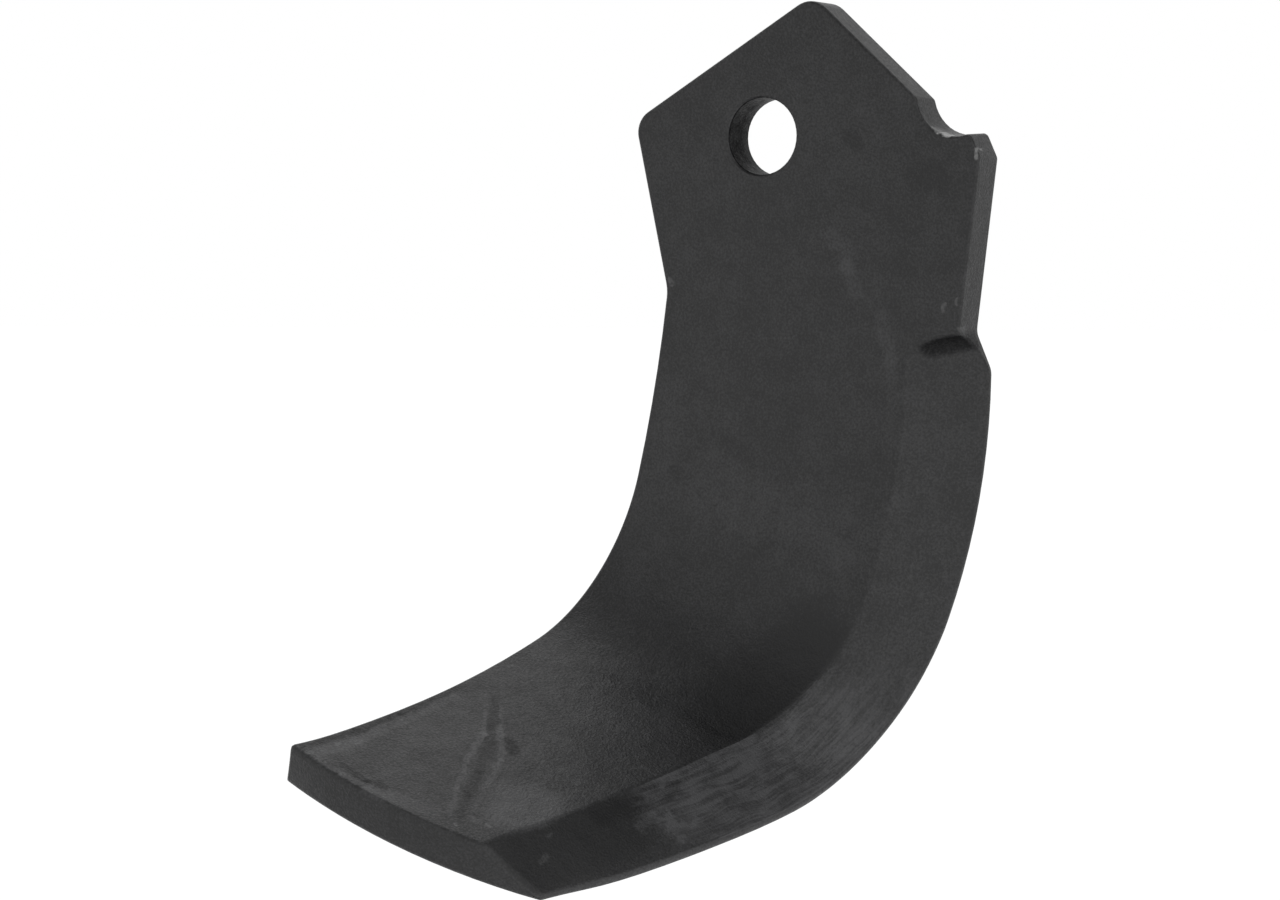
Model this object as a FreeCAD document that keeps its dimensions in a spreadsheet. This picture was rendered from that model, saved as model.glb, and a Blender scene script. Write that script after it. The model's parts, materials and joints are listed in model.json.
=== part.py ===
import FreeCAD, Part
import Sketcher
import os

# Rotary tiller blade: one steel forging with a pointed head, a flat shank, a bend and a foot.
# Millimetres and degrees. The bolt hole is the origin, +Z is up and the front face looks along -Y.
# The back face, which lies against the rotor's flange, is in the plane y = 0.
# The blade bends about a line that falls to the right. On the lower blade, places are given on
# the front face: reach is the distance along that line, and past_bend the distance beyond it.

os.makedirs("parts", exist_ok=True)
doc = FreeCAD.newDocument("tiller_blade")

# Driving dimensions
SIZES = [
    ("thickness", 8.0),
    ("hole_diameter", 14.5),
    ("hole_edge_chamfer", 0.4),
    # head, seen from the front with the hole at the origin
    ("apex_across", 10.7),
    ("apex_up", 26.1),
    ("apex_radius", 5.0),
    ("right_slope", 42.2),
    ("left_corner_across", -28.1),
    ("left_corner_up", 3.6),
    ("left_corner_radius", 4.5),
    ("neck_up", -28.9),
    ("neck_radius", 8.0),
    ("tip_across", 42.9),
    ("tip_up", 0.9),
    ("right_corner_across", 45.5),
    ("right_corner_up", -4.8),
    ("right_corner_radius", 1.5),
    ("shoulder_across", 41.4),
    ("shoulder_up", -36.8),
    ("shoulder_radius", 4.0),
    ("spread_up", -43.8),
    # notch beside the right corner
    ("notch_start_across", 33.2),
    ("notch_across", 40.5),
    ("notch_up", 7.3),
    ("notch_radius", 8.0),
    ("notch_lean", 4.0),
    ("notch_brink_radius", 1.2),
    # bend and foot
    ("bend_tilt", 22.0),
    ("bend_line_distance", 70.0),
    ("bend_inner_radius", 34.0),
    ("bend_angle", 68.0),
    ("foot_curl_radius", 800.0),
    # inner edge: two arcs that meet where it reaches furthest
    ("inner_apex_reach", 1.6),
    ("inner_apex_past_bend", 42.0),
    ("inner_upper_radius", 300.0),
    ("inner_lower_radius", 207.0),
    ("inner_flare_at_end", 1.3),
    # outer edge and the crease of its bevel: an upper arc that carries on as a lower one
    ("outer_apex_reach", 67.0),
    ("outer_apex_past_bend", 3.6),
    ("outer_upper_radius", 136.0),
    ("outer_lower_radius", 281.0),
    ("outer_lower_from", 18.0),
    ("bevel_width", 14.3),
    ("crease_lower_radius", 1170.0),
    ("crease_lower_from", 25.0),
    ("edge_land", 1.5),
    ("run_out_radius", 5.0),
    # end of the foot
    ("end_apex_reach", 8.0),
    ("end_apex_past_bend", 102.1),
    ("end_bow_radius", 105.0),
    # how far the bar and the cutting shapes stand clear of the finished blade
    ("cut_margin", 5.0),
]
size = dict(SIZES)
sheet = doc.addObject("Spreadsheet::Sheet", "Sizes")
for row, (word, value) in enumerate(SIZES, start=1):
    sheet.set("A%d" % row, word)
    sheet.set("B%d" % row, "%g" % value)
    sheet.setAlias("B%d" % row, word)
doc.recompute()

body = doc.addObject("PartDesign::Body", "tiller_blade")
body.Label = "tiller_blade"
doc.recompute()


# Expressions are written with cell words in braces
def cells(text):
    for word in size:
        text = text.replace("{" + word + "}", "Sizes." + word)
    return text


def number(text):
    value = sheet.evalExpression(cells(text))
    return float(getattr(value, "Value", value))


def bind(item, path, text):
    """Make a property follow the sheet, if its expression reads a cell."""
    if "{" in text:
        item.setExpression(path, cells(text))


def plane(role):
    return [item for item in body.Origin.OriginFeatures if item.Role == role][0]


def place(item, across="0", up="0", out="0", angle="0", axis=(0, 0, 1)):
    """Shift and turn an attached sketch or plane within its support."""
    base = FreeCAD.Vector(number(across), number(up), number(out))
    turn = FreeCAD.Rotation(FreeCAD.Vector(*axis), number(angle))
    item.AttachmentOffset = FreeCAD.Placement(base, turn)
    bind(item, "AttachmentOffset.Base.x", across)
    bind(item, "AttachmentOffset.Base.y", up)
    bind(item, "AttachmentOffset.Base.z", out)
    bind(item, "AttachmentOffset.Rotation.Angle", angle)


def sketch(name, support, **where):
    item = body.newObject("Sketcher::SketchObject", name)
    item.AttachmentSupport = [(support, "")]
    item.MapMode = "FlatFace"
    place(item, **where)
    return item


def constrain(item, text, kind, *what):
    index = item.addConstraint(Sketcher.Constraint(kind, *what, number(text)))
    bind(item, "Constraints[%d]" % index, text)


def closed_outline(item, points, arcs=None):
    """A closed outline through points given as pairs of expressions.

    Sides are straight, or an arc where arcs holds (radius, side) for the place in the list:
    side 1 puts the arc's centre on the left of the way to the next point, side -1 on its right.
    """
    arcs = arcs or {}
    spots = [FreeCAD.Vector(number(x), number(y), 0) for x, y in points]
    sides = []
    for index, start in enumerate(spots):
        stop = spots[(index + 1) % len(spots)]
        if index not in arcs:
            sides.append((item.addGeometry(Part.LineSegment(start, stop), False), 1, 2))
            continue
        text, hand = arcs[index]
        radius = number(text)
        chord = stop - start
        left = FreeCAD.Vector(-chord.y, chord.x, 0).normalize() * hand
        centre = (start + stop) * 0.5 + left * (radius ** 2 - (chord.Length / 2) ** 2) ** 0.5
        arc = item.addGeometry(Part.Arc(start, centre - left * radius, stop), False)
        sides.append((arc, 1, 2) if hand > 0 else (arc, 2, 1))
    for index, (side, start, stop) in enumerate(sides):
        following = sides[(index + 1) % len(sides)]
        item.addConstraint(Sketcher.Constraint("Coincident", side, stop, following[0], following[1]))
        constrain(item, points[index][0], "DistanceX", -1, 1, side, start)
        constrain(item, points[index][1], "DistanceY", -1, 1, side, start)
        if index in arcs:
            constrain(item, arcs[index][0], "Radius", side)
    return item


def round_outline(item, radius):
    """One full circle about the sketch's origin."""
    ring = Part.Circle(FreeCAD.Vector(), FreeCAD.Vector(0, 0, 1), number(radius))
    circle = item.addGeometry(ring, False)
    item.addConstraint(Sketcher.Constraint("Coincident", circle, 3, -1, 1))
    constrain(item, radius, "Radius", circle)
    return item


def settle(item, grows=False):
    """Recompute, and make sure that the feature really added or took away metal."""
    before = body.Shape.Volume if item.BaseFeature else 0.0
    doc.recompute()
    change = item.Shape.Volume - (item.BaseFeature.Shape.Volume if item.BaseFeature else before)
    if "Invalid" in item.State or not item.Shape.isValid() or (change > 0) != grows:
        raise ValueError("%s did not work: %s, %s" % (item.Name, item.State, change))
    return item


def pad(name, outline, length):
    item = body.newObject("PartDesign::Pad", name)
    item.Profile = outline
    bind(item, "Length", length)
    return settle(item, grows=True)


def cut_both_ways(name, outline, length):
    item = body.newObject("PartDesign::Pocket", name)
    item.Profile = outline
    item.SideType = "Symmetric"
    bind(item, "Length", length)
    return settle(item)


def cut_along(name, sections):
    item = body.newObject("PartDesign::SubtractiveLoft", name)
    item.Profile = sections[0]
    item.Sections = sections[1:]
    return settle(item)


def dress(kind, name, width, edges):
    """Round or bevel named edges of the body as it is so far."""
    item_before = body.Tip
    item = body.newObject("PartDesign::" + kind, name)
    item.Base = (item_before, edges)
    bind(item, "Radius" if kind == "Fillet" else "Size", width)
    doc.recompute()
    if "Invalid" in item.State or not item.Shape.isValid():
        raise ValueError("%s did not work" % name)
    return item


def edges_near(*spots):
    """Names of the edges through the thickness that stand nearest to places in the flat."""
    names = []
    for x, z in spots:
        distances = []
        for index, edge in enumerate(body.Shape.Edges, start=1):
            first, last = edge.Vertexes[0].Point, edge.Vertexes[-1].Point
            middle = (first + last) * 0.5
            if abs(abs(first.y - last.y) - size["thickness"]) < 0.01:
                distances.append((((middle.x - number(x)) ** 2 + (middle.z - number(z)) ** 2), index))
        names.append("Edge%d" % min(distances)[1])
    return names


# Curves of the lower blade on its front face: the reach at a distance past the bend line
outer_centre = ("({outer_apex_reach} - {outer_upper_radius})", "{outer_apex_past_bend}")
inner_centre = ("({inner_apex_reach} - {inner_upper_radius})", "{inner_apex_past_bend}")
crease_radius = "({outer_upper_radius} - {bevel_width})"


def reach_on_arc(centre, radius, at):
    return "(%s + sqrt((%s)^2 - (%s - %s)^2))" % (centre[0], radius, at, centre[1])


def carried_on(upper, lower, start):
    """Centre of a lower arc that leaves the upper one of the outer edge without a corner."""
    turn = "asin((%s - %s) / %s)" % (start, outer_centre[1], upper)
    return ("(%s + (%s - %s) * cos(%s))" % (outer_centre[0], upper, lower, turn),
            "(%s + (%s - %s) * sin(%s))" % (outer_centre[1], upper, lower, turn))


def inner_edge(at):
    if number(at) < size["inner_apex_past_bend"]:
        return reach_on_arc(inner_centre, "{inner_upper_radius}", at)
    lower_centre = ("({inner_apex_reach} - {inner_lower_radius})", "{inner_apex_past_bend}")
    return reach_on_arc(lower_centre, "{inner_lower_radius}", at)


def outer_edge(at):
    if number(at) < size["outer_lower_from"]:
        return reach_on_arc(outer_centre, "{outer_upper_radius}", at)
    lower_centre = carried_on("{outer_upper_radius}", "{outer_lower_radius}", "{outer_lower_from}")
    return reach_on_arc(lower_centre, "{outer_lower_radius}", at)


def crease(at):
    if number(at) < size["crease_lower_from"]:
        return reach_on_arc(outer_centre, crease_radius, at)
    lower_centre = carried_on(crease_radius, "{crease_lower_radius}", "{crease_lower_from}")
    return reach_on_arc(lower_centre, "{crease_lower_radius}", at)


# The same places seen from the hole: across and up in the flat of the head
def across_of(reach, past):
    return "(%s * cos({bend_tilt}) - ({bend_line_distance} + %s) * sin({bend_tilt}))" % (reach, past)


def up_of(reach, past):
    return "(-%s * sin({bend_tilt}) - ({bend_line_distance} + %s) * cos({bend_tilt}))" % (reach, past)


def across_on_arc(centre, radius, up):
    return "(%s + sqrt(%s^2 - (%s - %s)^2))" % (across_of(*centre), radius, up, up_of(*centre))


# Head and shank: one flat outline from the point down to the bend line
corners = {
    "apex": ("{apex_across}", "{apex_up}"),
    "notch_start": ("{notch_start_across}",
                    "{apex_up} - ({notch_start_across} - {apex_across}) * tan({right_slope})"),
    "tip": ("{tip_across}", "{tip_up}"),
    "right_corner": ("{right_corner_across}", "{right_corner_up}"),
    "shoulder": ("{shoulder_across}", "{shoulder_up}"),
    "spread": (across_on_arc(outer_centre, "{outer_upper_radius}", "{spread_up}"), "{spread_up}"),
    "bend_right": (across_of(outer_edge("0"), "0"), up_of(outer_edge("0"), "0")),
    "bend_left": (across_of(inner_edge("0"), "0"), up_of(inner_edge("0"), "0")),
    "neck": (across_on_arc(inner_centre, "{inner_upper_radius}", "{neck_up}"), "{neck_up}"),
    "left_corner": ("{left_corner_across}", "{left_corner_up}"),
}
order = list(corners)
flat_outline = closed_outline(sketch("head_and_shank_outline", plane("XZ_Plane")), list(corners.values()), {
    order.index("spread"): ("{outer_upper_radius}", -1),
    order.index("bend_left"): ("{inner_upper_radius}", 1),
})
pad("head_and_shank", flat_outline, "{thickness}")
dress("Fillet", "apex_rounding", "{apex_radius}", edges_near(corners["apex"]))
dress("Fillet", "left_corner_rounding", "{left_corner_radius}", edges_near(corners["left_corner"]))
dress("Fillet", "neck_rounding", "{neck_radius}", edges_near(corners["neck"]))
dress("Fillet", "right_corner_rounding", "{right_corner_radius}", edges_near(corners["right_corner"]))
dress("Fillet", "shoulder_rounding", "{shoulder_radius}",
      edges_near(corners["shoulder"], corners["spread"]))

# Half-round notch beside the right corner, leaning so that its floor falls to the front
notch_circle = round_outline(
    sketch("notch_circle", plane("XZ_Plane"), across="{notch_across}", up="{notch_up}",
           out="{thickness} / 2", angle="{notch_lean}", axis=(1, 0, 0)),
    "{notch_radius}")
cut_both_ways("notch", notch_circle, "4 * {thickness}")
notch_foot = ("{notch_across} + {notch_radius} * cos(-70)", "{notch_up} + {notch_radius} * sin(-70)")
dress("Fillet", "notch_brinks", "{notch_brink_radius}",
      edges_near((corners["notch_start"][0], "{notch_up}"), notch_foot))

# Bend and foot: a bar of even thickness, wider than the blade
bend_plane = body.newObject("PartDesign::Plane", "bend_plane")
bend_plane.AttachmentSupport = [(plane("XZ_Plane"), "")]
bend_plane.MapMode = "FlatFace"
place(bend_plane, angle="-{bend_tilt}")
doc.recompute()

outer_bend_radius = "({bend_inner_radius} + {thickness})"
bend_length = "({bend_inner_radius} * {bend_angle} * pi / 180)"
bar_length = "({end_apex_past_bend} - %s + {cut_margin})" % bend_length
bar_end_turn = "({bend_angle} + %s / {foot_curl_radius} * 180 / pi)" % bar_length


def on_bend(radius, turn):
    """A point of the side profile, at a radius from the centre of the bend."""
    return ("-%s + %s * cos(%s)" % (outer_bend_radius, radius, turn),
            "-{bend_line_distance} - %s * sin(%s)" % (radius, turn))


def on_foot(radius, turn):
    centre = on_bend("({bend_inner_radius} - {foot_curl_radius})", "{bend_angle}")
    return "%s + %s * cos(%s)" % (centre[0], radius, turn), "%s - %s * sin(%s)" % (centre[1], radius, turn)


outer_foot_radius = "({foot_curl_radius} + {thickness})"
side_profile = closed_outline(
    sketch("bend_and_foot_profile", bend_plane, across="-3 * {cut_margin}", angle="90", axis=(0, 1, 0)), [
        on_bend(outer_bend_radius, "0"),
        on_bend(outer_bend_radius, "{bend_angle}"),
        on_foot(outer_foot_radius, bar_end_turn),
        on_foot("{foot_curl_radius}", bar_end_turn),
        on_bend("{bend_inner_radius}", "{bend_angle}"),
        on_bend("{bend_inner_radius}", "0"),
    ], {0: (outer_bend_radius, -1), 1: (outer_foot_radius, -1),
        3: ("{foot_curl_radius}", 1), 4: ("{bend_inner_radius}", 1)})
pad("bend_and_foot", side_profile, "{outer_apex_reach} + 5 * {cut_margin}")

# Stations that follow the front face round the bend and along the foot, past the bar's end
BEND_STEPS = 8
FOOT_STEPS = 5


def bend_station(step):
    turn = "({bend_angle} * %d / %d)" % (step, BEND_STEPS)
    return dict(
        run="0",
        turn=turn,
        past="({bend_inner_radius} * %s * pi / 180)" % turn,
        up="-({bend_line_distance} + {bend_inner_radius} * sin(%s))" % turn,
        out="{thickness} + {bend_inner_radius} * (1 - cos(%s))" % turn)


def foot_station(run):
    turn = "({bend_angle} + %s / {foot_curl_radius} * 180 / pi)" % run
    centre = "({bend_inner_radius} - {foot_curl_radius})"
    along = "%s * sin({bend_angle}) + {foot_curl_radius} * sin(%s)" % (centre, turn)
    inward = "%s * cos({bend_angle}) + {foot_curl_radius} * cos(%s)" % (centre, turn)
    return dict(
        run=run,
        turn=turn,
        past="(%s + %s)" % (bend_length, run),
        up="-({bend_line_distance} + %s)" % along,
        out="{thickness} + {bend_inner_radius} - (%s)" % inward)


stations = [bend_station(step) for step in range(BEND_STEPS + 1)]
for step in range(1, FOOT_STEPS + 1):
    stations.append(foot_station("((%s + {cut_margin}) * %d / %d)" % (bar_length, step, FOOT_STEPS)))


def station_sketch(name, station):
    """A sketch square to the blade, x along the bend line and y out of the front face."""
    return sketch(name, bend_plane, up=station["up"], out=station["out"],
                  angle="90 - " + station["turn"], axis=(1, 0, 0))


# The two long edges of the lower blade, square to its faces
above = "{cut_margin}"
below = "-{thickness} - {cut_margin}"
far_left = "-4 * {cut_margin}"
far_right = "{outer_apex_reach} + 3 * {cut_margin}"
inner_sections = []
outer_sections = []
for index, station in enumerate(stations):
    inner = inner_edge(station["past"])
    flared = "%s - {inner_flare_at_end} * %s / %s" % (inner, station["run"], bar_length)
    inner_sections.append(closed_outline(station_sketch("inner_edge_%d" % index, station), [
        (inner, above), (far_left, above), (far_left, below), (flared, below)]))
    outer = outer_edge(station["past"])
    outer_sections.append(closed_outline(station_sketch("outer_edge_%d" % index, station), [
        (outer, above), (outer, below), (far_right, below), (far_right, above)]))
cut_along("inner_edge", inner_sections)
cut_along("outer_edge", outer_sections)

# Forged bevel of the outer edge, which leaves a narrow land on the back
bevel_depth = "({thickness} - {edge_land})"


def bevel_hollow(item, inside, outside, front="0", hand=1):
    """Triangle between the crease, the land and a point clear of the blade."""
    slope = "(%s / (%s - %s))" % (bevel_depth, outside, inside)
    heights = ["{cut_margin} / 2 * %s" % slope, "-%s - {cut_margin} / 2 * %s" % (bevel_depth, slope), above]
    widths = ["%s - {cut_margin} / 2" % inside] + ["%s + {cut_margin} / 2" % outside] * 2
    sign = "" if hand > 0 else "-"
    return closed_outline(item, [(width, "%s %s(%s)" % (front + " +", sign, height))
                                 for width, height in zip(widths, heights)])


# On the shank both edges of the bevel are arcs about one centre, so it is turned about that centre
shank_section = bevel_hollow(
    sketch("bevel_on_shank_section", plane("XY_Plane"),
           across=across_of(*outer_centre), out=up_of(*outer_centre)),
    crease_radius, "{outer_upper_radius}", front="-{thickness}", hand=-1)
bevel_turn = "({bend_tilt} * 1 deg - asin({outer_apex_past_bend} / {outer_upper_radius}))"
shank_bevel = body.newObject("PartDesign::Groove", "bevel_on_shank")
shank_bevel.Profile = shank_section
shank_bevel.ReferenceAxis = (shank_section, ["V_Axis"])
bind(shank_bevel, "Angle", bevel_turn)
settle(shank_bevel)

# The bevel starts under the neck in a hollow quarter round that runs out on the flat face
run_out_profile = closed_outline(
    sketch("run_out_profile", plane("YZ_Plane"), across="-{thickness}", up=up_of(*outer_centre),
           out="%s + %s" % (across_of(*outer_centre), crease_radius),
           angle="atan(%s / {bevel_width})" % bevel_depth, axis=(0, 1, 0)), [
        ("0", "0"),
        ("-{run_out_radius}", "{run_out_radius}"),
        ("-{run_out_radius} - 2 * {cut_margin}", "{run_out_radius}"),
        ("-{run_out_radius} - 2 * {cut_margin}", "0"),
    ], {0: ("{run_out_radius}", 1)})
cut_both_ways("run_out", run_out_profile, "4 * {bevel_width}")

# From the bend line to the end the bevel follows the stations
bevel_sections = [bevel_hollow(
    sketch("bevel_at_bend_line", plane("XY_Plane"), across=across_of(*outer_centre),
           out=up_of(*outer_centre), angle=bevel_turn, axis=(0, 1, 0)),
    crease_radius, "{outer_upper_radius}", front="-{thickness}", hand=-1)]
for index, station in enumerate(stations[1:], start=1):
    bevel_sections.append(bevel_hollow(
        station_sketch("bevel_%d" % index, station), crease(station["past"]), outer_edge(station["past"])))
cut_along("bevel", bevel_sections)

# The end of the foot bows outward between the two edges
end_station = foot_station("({end_apex_past_bend} - %s)" % bend_length)


def bow(reach):
    return "{end_bow_radius} - sqrt({end_bow_radius}^2 - (%s - {end_apex_reach})^2)" % reach


end_outline = closed_outline(
    sketch("end_bow", bend_plane, up=end_station["up"], out=end_station["out"],
           angle="-" + end_station["turn"], axis=(1, 0, 0)), [
        (far_right, bow(far_right)),
        (far_left, bow(far_left)),
        (far_left, "-8 * {cut_margin}"),
        (far_right, "-8 * {cut_margin}"),
    ], {0: ("{end_bow_radius}", -1)})
cut_both_ways("end_of_foot", end_outline, "4 * {thickness}")

# Bolt hole square through the head, with its edges broken on both faces
hole_circle = round_outline(sketch("bolt_hole_circle", plane("XZ_Plane")), "{hole_diameter} / 2")
cut_both_ways("bolt_hole", hole_circle, "4 * {thickness}")
rims = []
for index, edge in enumerate(body.Shape.Edges, start=1):
    if edge.Curve.TypeId == "Part::GeomCircle":
        centre = edge.Curve.Center
        if centre.x ** 2 + centre.z ** 2 < 0.01:
            rims.append("Edge%d" % index)
dress("Chamfer", "hole_edges", "{hole_edge_chamfer}", rims)

# Check every object, then write the part
doc.recompute()
for item in doc.Objects:
    if "Invalid" in item.State or "Error" in item.State:
        raise ValueError("%s is not sound: %s" % (item.Name, item.State))
if body.Shape.isNull() or not body.Shape.isValid() or len(body.Shape.Solids) != 1:
    raise ValueError("the blade is not one sound solid")
body.Shape.exportStep("parts/tiller_blade.step")
print("volume", round(body.Shape.Volume, 1), "mm3, faces", len(body.Shape.Faces))
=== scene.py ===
import json
import math

import bpy
from bpy.props import FloatProperty, FloatVectorProperty, IntProperty, PointerProperty
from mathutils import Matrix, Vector


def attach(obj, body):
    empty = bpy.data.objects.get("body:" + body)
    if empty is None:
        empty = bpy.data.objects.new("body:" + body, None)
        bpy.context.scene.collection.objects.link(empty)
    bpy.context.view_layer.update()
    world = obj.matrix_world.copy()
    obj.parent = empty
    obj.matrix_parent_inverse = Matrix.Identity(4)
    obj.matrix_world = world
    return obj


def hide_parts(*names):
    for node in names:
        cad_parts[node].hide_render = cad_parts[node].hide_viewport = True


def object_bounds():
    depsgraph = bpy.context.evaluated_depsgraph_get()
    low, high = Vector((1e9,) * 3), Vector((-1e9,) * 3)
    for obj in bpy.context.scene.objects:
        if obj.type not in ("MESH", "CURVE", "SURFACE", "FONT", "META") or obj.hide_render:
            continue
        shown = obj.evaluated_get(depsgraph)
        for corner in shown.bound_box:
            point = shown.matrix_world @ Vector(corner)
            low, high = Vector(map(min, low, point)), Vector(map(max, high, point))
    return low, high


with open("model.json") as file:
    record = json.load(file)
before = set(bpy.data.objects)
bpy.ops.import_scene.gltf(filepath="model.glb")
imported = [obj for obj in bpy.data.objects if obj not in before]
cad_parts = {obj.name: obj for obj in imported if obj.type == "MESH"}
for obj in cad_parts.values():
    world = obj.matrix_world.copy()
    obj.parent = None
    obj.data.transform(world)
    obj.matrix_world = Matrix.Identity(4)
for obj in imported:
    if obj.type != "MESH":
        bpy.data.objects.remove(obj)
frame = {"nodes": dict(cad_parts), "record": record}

bl_info = {
    "name": "Tiller blade",
    "version": (1, 0, 0),
    "blender": (4, 5, 0),
    "location": "3D View > Sidebar > Blade",
    "description": "Blackened forged tiller blade in a pale studio",
    "category": "Add Mesh",
}

MM = 0.001
SNAP = 0.02 * MM
CAD_NODE = "tiller_blade"
BODY = "root"
MOUNTS = {mount["name"]: mount for mount in frame["record"]["mounts"]}
CAD_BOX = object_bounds()
PLATE = -MOUNTS["bolt_head_seat"]["pos_m"][1]
HOLE_RADIUS = MOUNTS["bolt_hole"]["dims"]["r_mm"] * MM


class BladeSizes(bpy.types.PropertyGroup):
    """Sizes of the blade that its finishing needs, in metres and radians."""

    thickness: FloatProperty(
        name="Thickness", description="From the back face to the front face",
        default=PLATE, unit="LENGTH")
    bend_tilt: FloatProperty(
        name="Bend tilt", description="How steeply the bend line falls to the right",
        default=math.radians(22), unit="ROTATION")
    bend_distance: FloatProperty(
        name="Bend distance", description="From the bolt hole to the bend line",
        default=70 * MM, unit="LENGTH")
    bend_radius: FloatProperty(
        name="Bend radius", description="Of the front face, on the inside of the bend",
        default=34 * MM, unit="LENGTH")
    bend_angle: FloatProperty(
        name="Bend angle", description="Turn of the foot against the shank",
        default=math.radians(68), unit="ROTATION")
    foot_radius: FloatProperty(
        name="Foot radius", description="Slight curl of the foot's upper face",
        default=800 * MM, unit="LENGTH")
    edge_rounding: FloatProperty(
        name="Edge rounding", description="Width taken off the edges of head and shank",
        default=0.55 * MM, unit="LENGTH")
    crease_rounding: FloatProperty(
        name="Crease rounding", description="Width taken off the crease of the bevel",
        default=0.6 * MM, unit="LENGTH")
    end_rounding: FloatProperty(
        name="End rounding", description="Width taken off the edges of the foot's end",
        default=1.0 * MM, unit="LENGTH")
    hole_rounding: FloatProperty(
        name="Hole rounding", description="Width taken off the edges of the bolt hole",
        default=0.12 * MM, unit="LENGTH")
    rounding_steps: IntProperty(
        name="Rounding steps", description="Facets across a rounded edge", default=3, min=1)
    strip_width: FloatProperty(
        name="Strip width", description="Spacing of the cuts that let the blank bend",
        default=1.5 * MM, unit="LENGTH")
    foot_strip_width: FloatProperty(
        name="Foot strip width", description="Spacing of the cuts that let the foot curl",
        default=5 * MM, unit="LENGTH")
    foot_strips: IntProperty(
        name="Foot strips", description="Cuts across the foot", default=13, min=1)
    hole_reach: FloatProperty(
        name="Hole reach", description="Edges nearer to the hole's centre than this are the hole's",
        default=9 * MM, unit="LENGTH")
    end_reach: FloatProperty(
        name="End reach", description="Edges farther past the bend than this are the foot's end",
        default=40 * MM, unit="LENGTH")


class SteelFinish(bpy.types.PropertyGroup):
    """Colours and surface of the blackened steel."""

    black: FloatVectorProperty(
        name="Black", description="Forging scale under clear black varnish",
        default=(0.0025, 0.0025, 0.0029), min=0, max=1, subtype="COLOR")
    # Also the colour that the painted light goes towards: pale patches, light bands and the land's
    # highlight
    bare: FloatVectorProperty(
        name="Bare", description="Where the black has rubbed thin",
        default=(0.046, 0.046, 0.048), min=0, max=1, subtype="COLOR")
    # Colour of the painted highlights on the brinks of the notch, the tip and the lip
    bright: FloatVectorProperty(
        name="Bright", description="Nicks that show the steel",
        default=(0.42, 0.42, 0.42), min=0, max=1, subtype="COLOR")
    roughness: FloatProperty(
        name="Roughness", description="Of the black surface", default=0.45, min=0, max=1)
    grain: FloatProperty(
        name="Grain", description="Depth of the forged grain",
        default=0.11 * MM, unit="LENGTH", precision=6)
    streaks: FloatProperty(
        name="Streaks", description="Depth of the long marks that forging left on the bevel",
        default=0.05 * MM, unit="LENGTH", precision=6)
    upper_arc: FloatVectorProperty(
        name="Upper arc",
        description="Outer edge above the bend: centre along and past the bend line, radius",
        default=(-69 * MM, 3.6 * MM, 136 * MM), unit="LENGTH")
    lower_arc: FloatVectorProperty(
        name="Lower arc",
        description="Outer edge past the bend: centre along and past the bend line, radius",
        default=(-213.2 * MM, -11.9 * MM, 281 * MM), unit="LENGTH")


class StudioSetup(bpy.types.PropertyGroup):
    """Camera, floor and light."""

    lens: FloatProperty(
        name="Lens", description="Focal length on a 36 mm wide sensor, in millimetres",
        default=104.565)
    azimuth: FloatProperty(
        name="Azimuth", description="Turn of the camera to the object's right",
        default=math.radians(31.422), unit="ROTATION")
    elevation: FloatProperty(
        name="Elevation", description="How far the camera looks down",
        default=math.radians(2.213), unit="ROTATION")
    camera_place: FloatVectorProperty(
        name="Camera place", description="Where the camera stands",
        default=(0.34638, -0.61891, -0.03204), subtype="TRANSLATION")
    floor_drop: FloatProperty(
        name="Floor drop", description="Height of the lowest point over the floor",
        default=0.62, unit="LENGTH")
    floor_size: FloatProperty(
        name="Floor size", description="From side to side", default=200, unit="LENGTH")
    floor_glow: FloatProperty(
        name="Floor glow", description="Light of its own that keeps the floor white", default=0.06)
    light_centre: FloatVectorProperty(
        name="Light centre", description="The place that lamps and screens face",
        default=(0.005, -0.035, -0.08), subtype="TRANSLATION")
    lamp_distance: FloatProperty(
        name="Lamp distance", description="From that place to the lamps",
        default=0.6, unit="LENGTH")
    lamp_radius: FloatProperty(
        name="Lamp radius", description="Of each lamp, which is round",
        default=0.187, unit="LENGTH")


SENSOR_WIDTH = 36
# Lamps: direction seen from the blade, light added to the white surroundings
LAMPS = {
    "high_lamp": ((-0.20, 0.38, 0.90), 0.52),
    "high_right_lamp": ((0.58, -0.40, 0.72), 0.35),
    "low_front_lamp": ((0.49, -0.76, -0.43), 0.35),
}
# Screens: direction seen from the blade, brightness against the white surroundings, distance, radius
SCREENS = {
    "front_top_screen": ((-0.07, -0.28, 0.96), 0.0, 0.28, 0.105),
    "top_screen": ((0.27, -0.04, 0.96), 0.5, 0.6, 0.187),
    "right_top_screen": ((0.70, 0.30, 0.64), 0.0, 0.6, 0.187),
    "left_top_screen": ((-0.35, -0.67, 0.66), 0.67, 0.6, 0.187),
    "front_screen": ((-0.12, -0.95, 0.30), 0.70, 0.6, 0.187),
    "low_left_screen": ((-0.67, -0.52, -0.52), 0.45, 0.6, 0.187),
    "low_screen": ((-0.10, -0.05, -0.99), 0.40, 0.6, 0.187),
    "right_screen": ((0.49, 0.86, -0.11), 0.6, 0.6, 0.187),
    "back_top_screen": ((0.08, 0.86, 0.50), 0.65, 0.6, 0.187),
}


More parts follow.
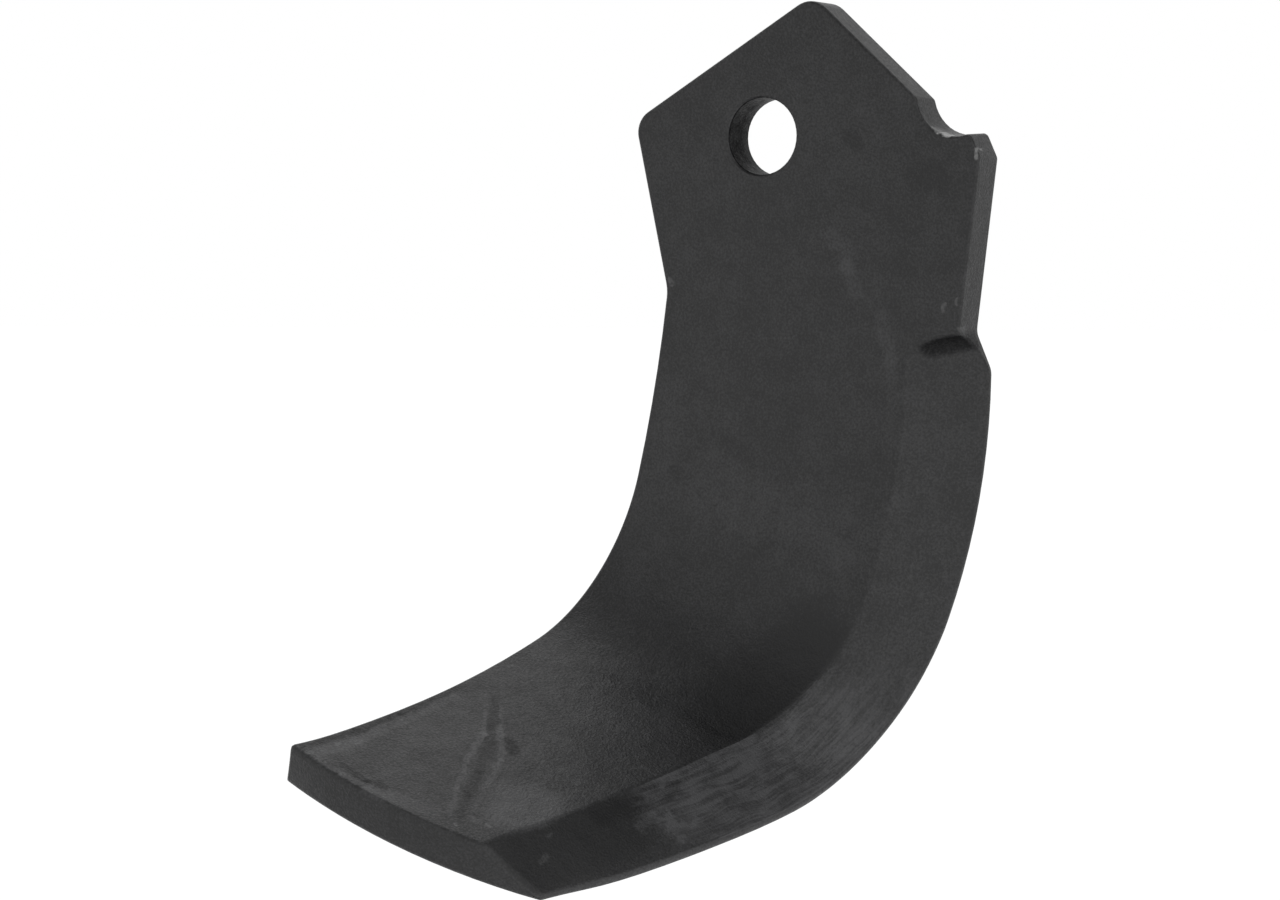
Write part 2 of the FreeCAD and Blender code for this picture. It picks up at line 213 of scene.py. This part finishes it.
# The bend: places on the flat blank and on the finished blade
class Bend:
    """Carries points from the bent blade to the flat blank and back."""

    def __init__(self, sizes):
        self.sizes = sizes
        tilt = sizes.bend_tilt
        self.along = Vector((math.cos(tilt), 0, -math.sin(tilt)))
        self.down = Vector((-math.sin(tilt), 0, -math.cos(tilt)))
        self.centre = (0.0, sizes.thickness + sizes.bend_radius)
        reach = sizes.bend_radius - sizes.foot_radius
        self.foot_centre = (reach * math.sin(sizes.bend_angle),
                            self.centre[1] - reach * math.cos(sizes.bend_angle))
        self.bend_length = sizes.bend_radius * sizes.bend_angle

    def join(self, reach, past, depth):
        point = self.along * reach + self.down * (self.sizes.bend_distance + past)
        point.y = -depth
        return point

    def split(self, point):
        """Reach along the bend line, distance past it and height over the back face."""
        return point.dot(self.along), point.dot(self.down) - self.sizes.bend_distance, -point.y

    def flatten(self, point):
        reach, past, height = self.split(point)
        sizes = self.sizes
        if past > 0:
            across, out = past - self.centre[0], self.centre[1] - height
            turn = math.atan2(across, out)
            past = sizes.bend_radius * turn
            height = self.centre[1] - math.hypot(across, out)
            if turn > sizes.bend_angle:
                across = self.split(point)[1] - self.foot_centre[0]
                out = self.foot_centre[1] + point.y
                turn = math.atan2(across, out)
                past = self.bend_length + sizes.foot_radius * (turn - sizes.bend_angle)
                height = sizes.foot_radius + sizes.thickness - math.hypot(across, out)
        return self.join(reach, past, height)

    def curve(self, point):
        reach, past, height = self.split(point)
        sizes = self.sizes
        if past > 0:
            turn, radius, centre = past / sizes.bend_radius, sizes.bend_radius, self.centre
            if past > self.bend_length:
                turn = sizes.bend_angle + (past - self.bend_length) / sizes.foot_radius
                radius, centre = sizes.foot_radius, self.foot_centre
            radius += sizes.thickness - height
            past = centre[0] + radius * math.sin(turn)
            height = centre[1] - radius * math.cos(turn)
        return self.join(reach, past, height)


# An edge taller than this runs from face to face of the plate
THROUGH = 6 * MM
# Turns between two faces from which their edge is a corner: on such an edge, and on any other
CORNER_THROUGH = math.radians(40)
CORNER = math.radians(18)
# How far forward the bevel's faces look, and how far at least any face on the front does
BEVEL_FORWARD = (0.75, 0.97)
FRONT_FORWARD = 0.5
# How far down the blank the foot's end looks at least
END_DOWN = 0.8


def only_this(obj):
    bpy.ops.object.select_all(action="DESELECT")
    obj.select_set(True)
    bpy.context.view_layer.objects.active = obj


def edit(obj, select="SELECT"):
    only_this(obj)
    bpy.ops.object.mode_set(mode="EDIT")
    bpy.ops.mesh.select_all(action=select)


def done():
    bpy.ops.object.mode_set(mode="OBJECT")


class BLADE_OT_blade(bpy.types.Operator):
    """Makes the finished blade: the solid, laid flat, with its edges rounded, and bent again"""

    bl_idname = "blade.blade"
    bl_label = "Forged blade"

    def execute(self, context):
        sizes = context.scene.blade_sizes
        bend = Bend(sizes)
        solid = frame["nodes"][CAD_NODE]
        blade = bpy.data.objects.new("forged_blade", solid.data.copy())
        context.scene.collection.objects.link(blade)
        self.lay_flat(blade, bend)
        self.round_edges(blade, bend, sizes)
        self.cut_strips(blade, bend, sizes)
        self.bend_again(blade, bend)
        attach(blade, BODY)
        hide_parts(CAD_NODE)
        return {"FINISHED"}

    def lay_flat(self, blade, bend):
        edit(blade)
        bpy.ops.mesh.customdata_custom_splitnormals_clear()
        bpy.ops.mesh.remove_doubles(threshold=SNAP)
        done()
        faces = (0, bend.sizes.thickness)
        for vertex in blade.data.vertices:
            flat = bend.flatten(vertex.co)
            for face in faces:
                if abs(-flat.y - face) < SNAP:
                    flat.y = -face
            vertex.co = flat
        edit(blade)
        bpy.ops.mesh.dissolve_limited(angle_limit=math.radians(0.4))
        bpy.ops.mesh.select_all(action="SELECT")
        bpy.ops.mesh.tris_convert_to_quads(face_threshold=math.radians(10), shape_threshold=math.pi)
        done()

    def is_sharp(self, mesh, edge, faces):
        """Whether two faces meet at an angle. The facets of a curved wall don't count."""
        heights = [mesh.vertices[index].co.y for index in edge.vertices]
        through = max(heights) - min(heights) > THROUGH
        return faces[0].normal.angle(faces[1].normal) > (CORNER_THROUGH if through else CORNER)

    def round_edges(self, blade, bend, sizes):
        mesh = blade.data
        bevel = mesh.attributes.new("bevel", "FLOAT", "FACE")
        least, most = BEVEL_FORWARD
        for face in mesh.polygons:
            bevel.data[face.index].value = least < -face.normal.y < most
        widest = max(sizes.edge_rounding, sizes.crease_rounding, sizes.end_rounding)
        touching = {}
        for face in mesh.polygons:
            for key in face.edge_keys:
                touching.setdefault(key, []).append(face)
        weights = mesh.attributes.new("bevel_weight_edge", "FLOAT", "EDGE")
        end = sizes.bend_distance + bend.bend_length + sizes.end_reach
        sharp = [edge for edge in mesh.edges if self.is_sharp(mesh, edge, touching[edge.key])]
        crease = [edge for edge in sharp
                  if all(-face.normal.y > FRONT_FORWARD for face in touching[edge.key])]
        for edge in sharp:
            first, second = touching[edge.key]
            middle = (mesh.vertices[edge.vertices[0]].co + mesh.vertices[edge.vertices[1]].co) / 2
            width = sizes.edge_rounding
            if math.hypot(middle.x, middle.z) < sizes.hole_reach:
                width = sizes.hole_rounding
            elif edge in crease:
                width = sizes.crease_rounding
            elif max(first.normal.dot(bend.down), second.normal.dot(bend.down)) > END_DOWN:
                if middle.dot(bend.down) > end:
                    width = sizes.end_rounding
            weights.data[edge.index].value = width / widest
        only_this(blade)
        rounding = blade.modifiers.new("rounding", "BEVEL")
        rounding.width = widest
        rounding.segments = sizes.rounding_steps
        rounding.limit_method = "WEIGHT"
        rounding.use_clamp_overlap = False
        rounding.miter_outer = "MITER_SHARP"
        rounding.loop_slide = False
        bpy.ops.object.modifier_apply(modifier=rounding.name)

    def cut_strips(self, blade, bend, sizes):
        edit(blade)
        count = math.ceil(bend.bend_length / sizes.strip_width)
        stations = [bend.bend_length * step / count for step in range(count + 1)]
        foot = range(1, sizes.foot_strips + 1)
        stations += [bend.bend_length + sizes.foot_strip_width * step for step in foot]
        for past in stations:
            bpy.ops.mesh.select_all(action="SELECT")
            bpy.ops.mesh.bisect(plane_co=bend.join(0, past, 0), plane_no=bend.down)
        done()

    def bend_again(self, blade, bend):
        mesh = blade.data
        blank = mesh.attributes.new("blank", "FLOAT_VECTOR", "POINT")
        for vertex in mesh.vertices:
            blank.data[vertex.index].vector = vertex.co
            vertex.co = bend.curve(vertex.co)
        only_this(blade)
        bpy.ops.object.shade_smooth()
        weighted = blade.modifiers.new("normals", "WEIGHTED_NORMAL")
        weighted.keep_sharp = True
        bpy.ops.object.modifier_apply(modifier=weighted.name)
        print("blade", len(mesh.vertices), "vertices", len(mesh.polygons), "faces")


class Value:
    """A number, vector or colour in a material, on which plain arithmetic works."""

    def __init__(self, graph, socket):
        self.graph = graph
        self.socket = socket

    def __add__(self, other):
        return self.graph.math("ADD", self, other)

    def __radd__(self, other):
        return self.graph.math("ADD", other, self)

    def __sub__(self, other):
        return self.graph.math("SUBTRACT", self, other)

    def __rsub__(self, other):
        return self.graph.math("SUBTRACT", other, self)

    def __mul__(self, other):
        return self.graph.math("MULTIPLY", self, other)

    def __rmul__(self, other):
        return self.graph.math("MULTIPLY", other, self)

    def __truediv__(self, other):
        return self.graph.math("DIVIDE", self, other)

    def __rtruediv__(self, other):
        return self.graph.math("DIVIDE", other, self)


class Graph:
    """Builds the nodes of one material."""

    def __init__(self, name):
        self.material = bpy.data.materials.new(name)
        self.material.use_nodes = True
        self.tree = self.material.node_tree
        self.surface = self.tree.nodes["Principled BSDF"]

    def fill(self, node, inputs):
        for name, value in inputs.items():
            if isinstance(value, Value):
                self.tree.links.new(value.socket, node.inputs[name])
            else:
                node.inputs[name].default_value = value

    def node(self, kind, settings, inputs, output=0):
        node = self.tree.nodes.new("ShaderNode" + kind)
        for name, value in settings.items():
            setattr(node, name, value)
        self.fill(node, inputs)
        return Value(self, node.outputs[output])

    def math(self, operation, *values):
        return self.node("Math", {"operation": operation}, dict(enumerate(values)))

    def vector(self, operation, *values, output=0):
        return self.node("VectorMath", {"operation": operation}, dict(enumerate(values)), output)

    def scaled(self, vector, factor):
        return self.node("VectorMath", {"operation": "SCALE"}, {"Vector": vector, "Scale": factor})

    def dot(self, first, second):
        return self.vector("DOT_PRODUCT", first, second, output=1)

    def join(self, x, y, z):
        return self.node("CombineXYZ", {}, {0: x, 1: y, 2: z})

    def attribute(self, name, output):
        return self.node("Attribute", {"attribute_name": name}, {}, output)

    def smooth(self, value, start, end):
        """Rises from 0 to 1 between start and end."""
        limits = {0: value, 1: start, 2: end}
        return self.node("MapRange", {"interpolation_type": "SMOOTHSTEP"}, limits)

    def noise(self, place, size, detail=2.0, roughness=0.5, output=0):
        """Noise with spots of about the given size, in the units of the place."""
        inputs = {"Vector": place, "Scale": 1 / size, "Detail": detail, "Roughness": roughness}
        return self.node("TexNoise", {}, inputs, output)

    def colour(self, factor, first, second):
        return self.node("Mix", {"data_type": "RGBA"}, {0: factor, 6: first, 7: second}, output=2)

    def stroke(self, place, start, end, width):
        """A soft mark from start to end on the flat blank, in millimetres."""
        start = Vector((start[0], 0, start[1]))
        run = Vector((end[0], 0, end[1])) - start
        offset = self.vector("SUBTRACT", place, start)
        share = self.node("Clamp", {}, {0: self.dot(offset, run) / max(run.length_squared, 0.01)})
        away = self.vector("DISTANCE", offset, self.scaled(run, share), output=1)
        return self.smooth(away, width, width * 0.35)


# Marks on the front face: start and end on the flat blank in mm, half width in mm, lighter or darker
MARKS = (
    # The smear across the foot: light rims, dark middle, and the spot beside it
    ((-41.9, -130.4), (-40.2, -136.7), 0.6, 0.40),
    ((-40.2, -136.7), (-40.4, -146.1), 0.9, 0.60),
    ((-40.4, -146.1), (-39.6, -155.1), 0.8, 0.50),
    ((-39.6, -155.1), (-38.6, -162.6), 0.7, 0.35),
    ((-39.4, -127.7), (-37.7, -133.5), 0.5, 0.30),
    ((-37.7, -133.5), (-34.9, -143.0), 0.9, 0.60),
    ((-34.9, -143.0), (-35.0, -151.1), 0.9, 0.50),
    ((-35.0, -151.1), (-34.9, -160.0), 0.8, 0.30),
    ((-41.3, -125.0), (-38.4, -138.6), 1.4, -0.34),
    ((-38.0, -139.6), (-37.6, -148.2), 1.4, -0.24),
    ((-37.5, -148.2), (-37.2, -156.0), 1.5, -0.30),
    ((-37.1, -156.0), (-36.7, -162.4), 1.4, -0.24),
    ((-35.5, -136.8), (-33.8, -139.9), 1.7, -0.50),
    # Painted light: a pale patch on the foot by its right corner, where its top catches more light,
    # and the specks there
    ((-32.5, -150.6), (-31.0, -160.5), 3.2, 0.18),
    ((-26.5, -157.5), (-26.0, -154.0), 8.5, 0.56),
    ((-36.3, -165.7), (-36.2, -165.7), 0.7, 1.10),
    ((-31.2, -163.6), (-30.9, -163.5), 0.7, 1.10),
    ((-34.5, -162.2), (-33.0, -163.2), 1.0, 0.60),
    # Painted highlights inside the foot's left edge and end, where its rounded rims reflect, with
    # painted shade beside them
    ((-65.5, -155.6), (-60.6, -149.3), 2.2, 0.40),
    ((-60.3, -148.7), (-54.8, -139.6), 1.7, 0.45),
    ((-54.8, -139.6), (-48.5, -127.8), 1.3, 0.35),
    ((-65.6, -157.3), (-59.3, -160.1), 0.9, 0.50),
    ((-59.3, -160.1), (-53.1, -162.4), 1.0, 0.50),
    ((-53.1, -162.6), (-41.0, -163.2), 2.6, 0.36),
    ((-68.4, -155.1), (-61.5, -146.2), 0.9, -0.45),
    ((-61.5, -146.2), (-56.0, -137.3), 0.9, -0.45),
    ((-56.0, -137.3), (-52.0, -130.7), 0.9, -0.40),
    ((-52.0, -130.7), (-48.0, -123.5), 0.8, -0.30),
    ((-60.2, -157.3), (-54.9, -160.0), 0.9, -0.45),
    ((-54.9, -160.0), (-51.0, -160.3), 0.9, -0.40),
    ((-67.1, -156.3), (-66.5, -156.4), 0.8, 1.10),
    ((-63.0, -151.3), (-62.7, -151.0), 0.6, 1.00),
    # The small arc by the crease, painted shade in the hollow of the bend and painted light on the
    # foot beside it
    ((-12.1, -136.0), (-10.8, -134.1), 0.5, 0.35),
    ((-10.8, -134.1), (-8.0, -135.5), 0.5, 0.35),
    ((12.0, -99.0), (4.0, -110.5), 15.0, -0.26),
    ((-11.0, -120.0), (-20.0, -122.0), 9.0, 0.14),
    # Rubs, specks and stain spots on head and shank, and a band of painted light across the shank
    # where the bend begins
    ((15.0, -18.8), (15.8, -20.2), 2.4, 0.24),
    ((18.4, -20.5), (18.2, -24.5), 2.0, 0.15),
    ((18.2, -24.5), (20.0, -29.5), 2.2, 0.20),
    ((25.6, -34.2), (27.3, -42.0), 2.1, 0.15),
    ((27.3, -42.0), (28.2, -49.3), 2.0, 0.12),
    ((-10.0, -66.0), (18.0, -74.0), 10.0, 0.12),
    ((-19.9, -27.0), (-19.4, -27.9), 0.7, 1.00),
    ((-7.5, -58.3), (-3.5, -60.5), 2.6, -0.10),
    ((-19.5, -63.5), (-16.0, -65.2), 2.2, -0.08),
    ((18.8, -0.6), (20.2, -1.6), 2.1, -0.15),
    ((33.0, -8.6), (37.0, -8.0), 4.0, -0.09),
)
# Marks on the bevel: painted shade at its dark end and in the band below the crease, and the pale
# blotches
BEVEL_MARKS = (
    ((-21.0, -164.0), (-11.0, -149.5), 9.0, -0.26),
    ((-14.0, -150.5), (-4.0, -136.0), 2.4, -0.30),
    ((-7.2, -148.0), (-5.4, -143.6), 1.3, 0.38),
    ((-4.2, -144.2), (-0.4, -142.2), 1.3, 0.34),
    ((-3.0, -140.0), (0.6, -136.8), 1.1, 0.30),
    ((-20.6, -164.6), (-20.0, -163.6), 0.9, 0.45),
    ((-21.0, -159.7), (-20.8, -159.4), 0.7, 0.45),
)
# Painted highlights: bright flecks on the brinks of the notch, the tip and the lip
BRINK_HIGHLIGHTS = (
    ((35.6, 0.8), (37.3, -0.2), 0.5, 0.25),
    ((37.3, -0.2), (39.2, -0.7), 0.5, 0.80),
    ((44.8, -3.4), (45.0, -5.0), 0.5, 0.35),
    ((38.5, -31.4), (38.4, -32.9), 0.5, 0.10),
    ((41.2, -30.7), (41.0, -31.8), 0.5, 0.10),
    ((41.5, -36.0), (41.9, -37.8), 0.5, 0.08),
)


# Sizes of the steel's patterns, in mm
GRAIN_SIZE = 0.45
MOTTLE_SIZE = 4.5
PATCH_SIZE = 17.0
WAVE_SIZE = 7.0
WARP_SIZE = 2.2
BREAK_SIZE = 1.0
BORE_SPOT_SIZE = 1.6
BORE_CLOUD_SIZE = 2.5
# Marks with a smaller half width than this are broken up
NARROW_MARK = 2.0

# The front face's height, the middle of the plate and the hole's radius, in mm
FACE = PLATE / MM
MIDDLE = FACE / 2
HOLE = HOLE_RADIUS / MM

# Where the patterns lie, in mm. Each pair says where one starts and where it is at its full strength
# Heights over the back face
FRONT = (FACE - 0.8, FACE - 0.1)
BELOW_FRONT = (FACE - 0.1, FACE - 0.8)
BRINK_HIGHLIGHT_HEIGHTS = (4.5, 6.0)
BORE_FRONT = (2.6, 4.4)
RUN_OUT_FLOOR = (1.0, 2.0)
LAND_TOP = (1.8, 1.4)
LAND_FLOOR = (0.1, 0.5)
# Heights over the middle of the plate, on both sides
RIM = (MIDDLE - 0.55, MIDDLE - 0.30)
RIM_END = (MIDDLE - 0.02, MIDDLE - 0.20)
# Distances from the hole's centre and from the outer edge
BORE = (HOLE + 0.17, HOLE + 0.05)
LAND_NEAR = (1.5, 0.7)
# Distances below the bolt hole, and the change of arc past the bend line
RUBBED = (90.0, 118.0)
RUBBED_END = (150.0, 138.0)
SPOTTED = (132.0, 138.0)
SPOTTED_END = (151.0, 145.0)
LAND_HIGHLIGHT_REACH = (95.0, 125.0)
NEXT_ARC = (14.0, 22.0)
# The shadowed hollow under the lip: start and end on the flat blank, half width
UNDER_LIP = ((35.0, -39.6), (41.5, -38.4), 2.6)


class BLADE_OT_steel(bpy.types.Operator):
    """Gives the blade its blackened steel: grain, mottling, forged streaks, wear, marks, and painted
    light and shade
    """

    bl_idname = "blade.steel"
    bl_label = "Blackened steel"

    def execute(self, context):
        finish = context.scene.steel_finish
        sizes = context.scene.blade_sizes
        graph = Graph("blackened_steel")
        place = graph.scaled(graph.attribute("blank", 1), 1 / MM)
        bevel = graph.attribute("bevel", 2)
        height = graph.dot(place, (0, -1, 0))
        front = graph.smooth(height, *FRONT)

        # Patterns
        grain = graph.noise(place, GRAIN_SIZE, 2.0, 0.6)
        mottle = graph.noise(place, MOTTLE_SIZE, 3.0, 0.6)
        patches = graph.noise(place, PATCH_SIZE, 1.0, 0.5)
        streak, fine_streak, edge = self.streaks(graph, place, sizes, finish)
        # Marks on the front face and the bevel: rubs, specks and stain spots, and painted light and
        # shade
        marks = self.marks(graph, place, MARKS) * front
        marks = marks + self.marks(graph, place, BEVEL_MARKS) * bevel
        # Painted highlights on the brinks, near the front face
        brink_highlights = self.marks(graph, place, BRINK_HIGHLIGHTS) * graph.smooth(height, *BRINK_HIGHLIGHT_HEIGHTS)
        # The dark marks, stains and painted shade alike, and the painted shade under the lip also
        # make the surface duller and metallic, so darker
        stains_and_painted_shade = graph.node("Clamp", {}, {0: marks * -0.5})
        scale = self.bore_scale_and_lip_shade(graph, place, height) + stains_and_painted_shade

        # Colour: how far the black goes towards the bare colour, through random tone, wear, marks
        # and painted light and shade, with the painted highlights on top
        wear_and_land_highlight = self.edge_wear(graph, height, mottle) + self.land_highlight(graph, place, height, edge)
        # Lighter streaks and spots on the bevel round the bend
        rubbed = bevel * self.rubbed(graph, place, streak, fine_streak, mottle)
        level = (mottle - 0.5) * 1.00 + (patches - 0.5) * 0.50 + (grain - 0.5) * 2.8
        level = level + bevel * (streak - 0.5) * 0.25
        light = level * 0.36 + 0.10 + marks + wear_and_land_highlight + rubbed
        shade = graph.node("Clamp", {}, {0: light})
        colour = graph.colour(shade, (*finish.black, 1), (*finish.bare, 1))
        colour = graph.colour(graph.node("Clamp", {}, {0: brink_highlights}), colour, (*finish.bright, 1))

        # Gloss and relief
        rough = finish.roughness - level * 0.12 - marks * 0.05 + bevel * (fine_streak - 0.5) * 0.12
        rough = graph.node("Clamp", {}, {0: rough + scale * 0.2, 1: 0.22, 2: 0.7})
        relief = (grain - 0.5) * finish.grain + (mottle - 0.5) * finish.grain * 2.0
        relief = relief + bevel * ((streak - 0.5) + (fine_streak - 0.5) * 0.4) * finish.streaks
        bump = graph.node("Bump", {}, {"Strength": 1.0, "Distance": 1.0, "Height": relief})
        graph.fill(graph.surface, {"Base Color": colour, "Roughness": rough, "Metallic": scale,
                                   "Normal": bump})
        blade = bpy.data.objects["forged_blade"]
        blade.data.materials.clear()
        blade.data.materials.append(graph.material)
        return {"FINISHED"}

    def streaks(self, graph, place, sizes, finish):
        """Long marks that follow the outer edge: its upper arc, then its lower one."""
        bend = Bend(sizes)
        across = graph.dot(place, bend.along)
        past = graph.dot(place, bend.down) - sizes.bend_distance / MM
        arcs = []
        for arc in (finish.upper_arc, finish.lower_arc):
            centre_across, centre_past, radius = (value / MM for value in arc)
            offset = graph.join(across - centre_across, past - centre_past, 0.0)
            arcs.append(graph.vector("LENGTH", offset, output=1) - radius)
        edge = arcs[0] + (arcs[1] - arcs[0]) * graph.smooth(past, *NEXT_ARC)
        out = edge + graph.noise(place, WAVE_SIZE, 2.0, 0.35) * 2.0
        coarse = graph.noise(graph.join(out * 1.2, past * 0.08, 0.0), 1.0, 3.0, 0.6)
        fine = graph.noise(graph.join(out * 3.4, past * 0.12, 7.0), 1.0, 2.0, 0.6)
        return coarse, fine, edge

    def marks(self, graph, place, table):
        """The strokes of one table. The narrow ones are broken up, as rubs are."""
        warp = graph.noise(place, WARP_SIZE, 2.0, 0.5, output=1)
        warp = graph.vector("SUBTRACT", warp, (0.5, 0.5, 0.5))
        moved = graph.vector("ADD", place, graph.scaled(warp, 2.0))
        flat = graph.vector("MULTIPLY", moved, (1, 0, 1))
        broken = graph.smooth(graph.noise(place, BREAK_SIZE, 2.0, 0.6), 0.30, 0.62)
        narrow, wide = 0.0, 0.0
        for start, end, width, strength in table:
            mark = graph.stroke(flat, start, end, width) * strength
            if width < NARROW_MARK:
                narrow = mark + narrow
            else:
                wide = mark + wide
        return narrow * (broken * 0.75 + 0.25) + wide

    def rubbed(self, graph, place, streak, fine_streak, mottle):
        """Lighter streaks on the bevel where it goes round the bend, and lighter spots below them.
        """
        down = graph.dot(place, (0, 0, -1))
        stretch = graph.smooth(down, *RUBBED) * graph.smooth(down, *RUBBED_END)
        blotchy = streak * 0.60 + fine_streak * 0.40 + (mottle - 0.5) * 0.40
        pattern = graph.smooth(blotchy, 0.38, 0.62)
        lower = graph.smooth(down, *SPOTTED) * graph.smooth(down, *SPOTTED_END)
        spots = graph.smooth(mottle, 0.52, 0.64) * lower * 0.35
        return stretch * (pattern * 0.66 + 0.27) + spots

    def bore_scale_and_lip_shade(self, graph, place, height):
        """Dark bare scale on the bolt hole's wall, and painted shade under the lip where the bevel
        runs out.
        """
        flat = graph.vector("MULTIPLY", place, (1, 0, 1))
        bore = graph.smooth(graph.vector("LENGTH", flat, output=1), *BORE)
        patchy = graph.smooth(graph.noise(place, BORE_SPOT_SIZE, 2.0, 0.6), 0.35, 0.60) * 0.20 + 0.78
        clouds = graph.noise(place, BORE_CLOUD_SIZE) * 2.0
        deep = graph.smooth(height + clouds, *BORE_FRONT) * 0.30 + 0.70
        # Painted shade under the lip
        lip = graph.stroke(flat, *UNDER_LIP)
        below = graph.smooth(height, *BELOW_FRONT) * graph.smooth(height, *RUN_OUT_FLOOR) * 0.55
        return bore * patchy * deep + lip * below

    def edge_wear(self, graph, height, mottle):
        """The black is thinner on the rounded rims of the front and back faces."""
        depth = graph.math("ABSOLUTE", height - MIDDLE)
        rim = graph.smooth(depth, *RIM) * graph.smooth(depth, *RIM_END)
        return rim * graph.smooth(mottle, 0.40, 0.62) * 0.10

    def land_highlight(self, graph, place, height, edge):
        """Painted highlight: a lighter line on the narrow land below the bevel, from the bend on,
        where the land reflects.
        """
        land = graph.smooth(height, *LAND_TOP) * graph.smooth(height, *LAND_FLOOR)
        near = graph.smooth(graph.math("ABSOLUTE", edge), *LAND_NEAR)
        down = graph.dot(place, (0, 0, -1))
        return land * near * graph.smooth(down, *LAND_HIGHLIGHT_REACH) * 0.30


class BLADE_OT_studio(bpy.types.Operator):
    """Sets up the camera, the pale floor and the soft light"""

    bl_idname = "blade.studio"
    bl_label = "Studio"

    def execute(self, context):
        setup = context.scene.studio_setup
        self.camera(context, setup)
        self.floor(setup)
        self.world(context)
        for name, (direction, level) in LAMPS.items():
            self.lamp(setup, name, direction, level)
        for name, screen in SCREENS.items():
            self.screen(setup, name, *screen)
        return {"FINISHED"}

    def camera(self, context, setup):
        turn = (math.pi / 2 - setup.elevation, 0, setup.azimuth)
        bpy.ops.object.camera_add(location=setup.camera_place, rotation=turn)
        camera = context.object
        camera.data.lens = setup.lens
        camera.data.sensor_width = SENSOR_WIDTH
        context.scene.camera = camera

    def floor(self, setup):
        place = (0, 0, CAD_BOX[0].z - setup.floor_drop)
        bpy.ops.mesh.primitive_plane_add(size=setup.floor_size, location=place)
        floor = bpy.context.object
        floor.name = "floor"
        white = Graph("white_floor")
        white.fill(white.surface, {"Base Color": (1, 1, 1, 1), "Roughness": 1.0,
                                   "Specular IOR Level": 0.0, "Emission Color": (1, 1, 1, 1),
                                   "Emission Strength": setup.floor_glow})
        floor.data.materials.append(white.material)

    def world(self, context):
        world = bpy.data.worlds.new("white_studio")
        world.use_nodes = True
        world.node_tree.nodes["Background"].inputs["Color"].default_value = (1, 1, 1, 1)
        context.scene.world = world
        context.scene.view_settings.view_transform = "Standard"

    def aim(self, setup, direction, distance):
        """Place and turn of a lamp or screen that faces the blade from a direction."""
        direction = Vector(direction).normalized()
        place = Vector(setup.light_centre) + direction * distance
        return place, direction.to_track_quat("Z", "Y").to_euler()

    def lamp(self, setup, name, direction, level):
        """A round lamp whose face is as bright as level times the white surroundings."""
        place, turn = self.aim(setup, direction, setup.lamp_distance)
        area = math.pi * setup.lamp_radius ** 2
        bpy.ops.object.light_add(type="AREA", location=place, rotation=turn)
        lamp = bpy.context.object
        lamp.name = name
        lamp.data.shape = "DISK"
        lamp.data.size = 2 * setup.lamp_radius
        lamp.data.energy = level * math.pi * area
        lamp.visible_camera = False

    def screen(self, setup, name, direction, level, distance, radius):
        place, turn = self.aim(setup, direction, distance)
        bpy.ops.mesh.primitive_circle_add(
            radius=radius, fill_type="NGON", location=place, rotation=turn)
        screen = bpy.context.object
        screen.name = name
        screen.visible_camera = False
        grey = Graph(name)
        grey.fill(grey.surface, {"Base Color": (0, 0, 0, 1), "Roughness": 1.0,
                                 "Specular IOR Level": 0.0, "Emission Color": (1, 1, 1, 1),
                                 "Emission Strength": level})
        grey.material.cycles.emission_sampling = "NONE"
        screen.data.materials.append(grey.material)


class BLADE_PT_panel(bpy.types.Panel):
    """Lists the steps in the 3D view's sidebar"""

    bl_label = "Tiller blade"
    bl_idname = "BLADE_PT_panel"
    bl_space_type = "VIEW_3D"
    bl_region_type = "UI"
    bl_category = "Blade"

    def draw(self, context):
        for operator in OPERATORS:
            self.layout.operator(operator.bl_idname)


OPERATORS = (BLADE_OT_blade, BLADE_OT_steel, BLADE_OT_studio)
CLASSES = (BladeSizes, SteelFinish, StudioSetup, *OPERATORS, BLADE_PT_panel)


def register():
    for cls in CLASSES:
        bpy.utils.register_class(cls)
    bpy.types.Scene.blade_sizes = PointerProperty(type=BladeSizes)
    bpy.types.Scene.steel_finish = PointerProperty(type=SteelFinish)
    bpy.types.Scene.studio_setup = PointerProperty(type=StudioSetup)


def unregister():
    del bpy.types.Scene.studio_setup
    del bpy.types.Scene.steel_finish
    del bpy.types.Scene.blade_sizes
    for cls in reversed(CLASSES):
        bpy.utils.unregister_class(cls)


def main():
    register()
    bpy.ops.blade.blade()
    bpy.ops.blade.steel()
    bpy.ops.blade.studio()


if __name__ == "__main__":
    main()
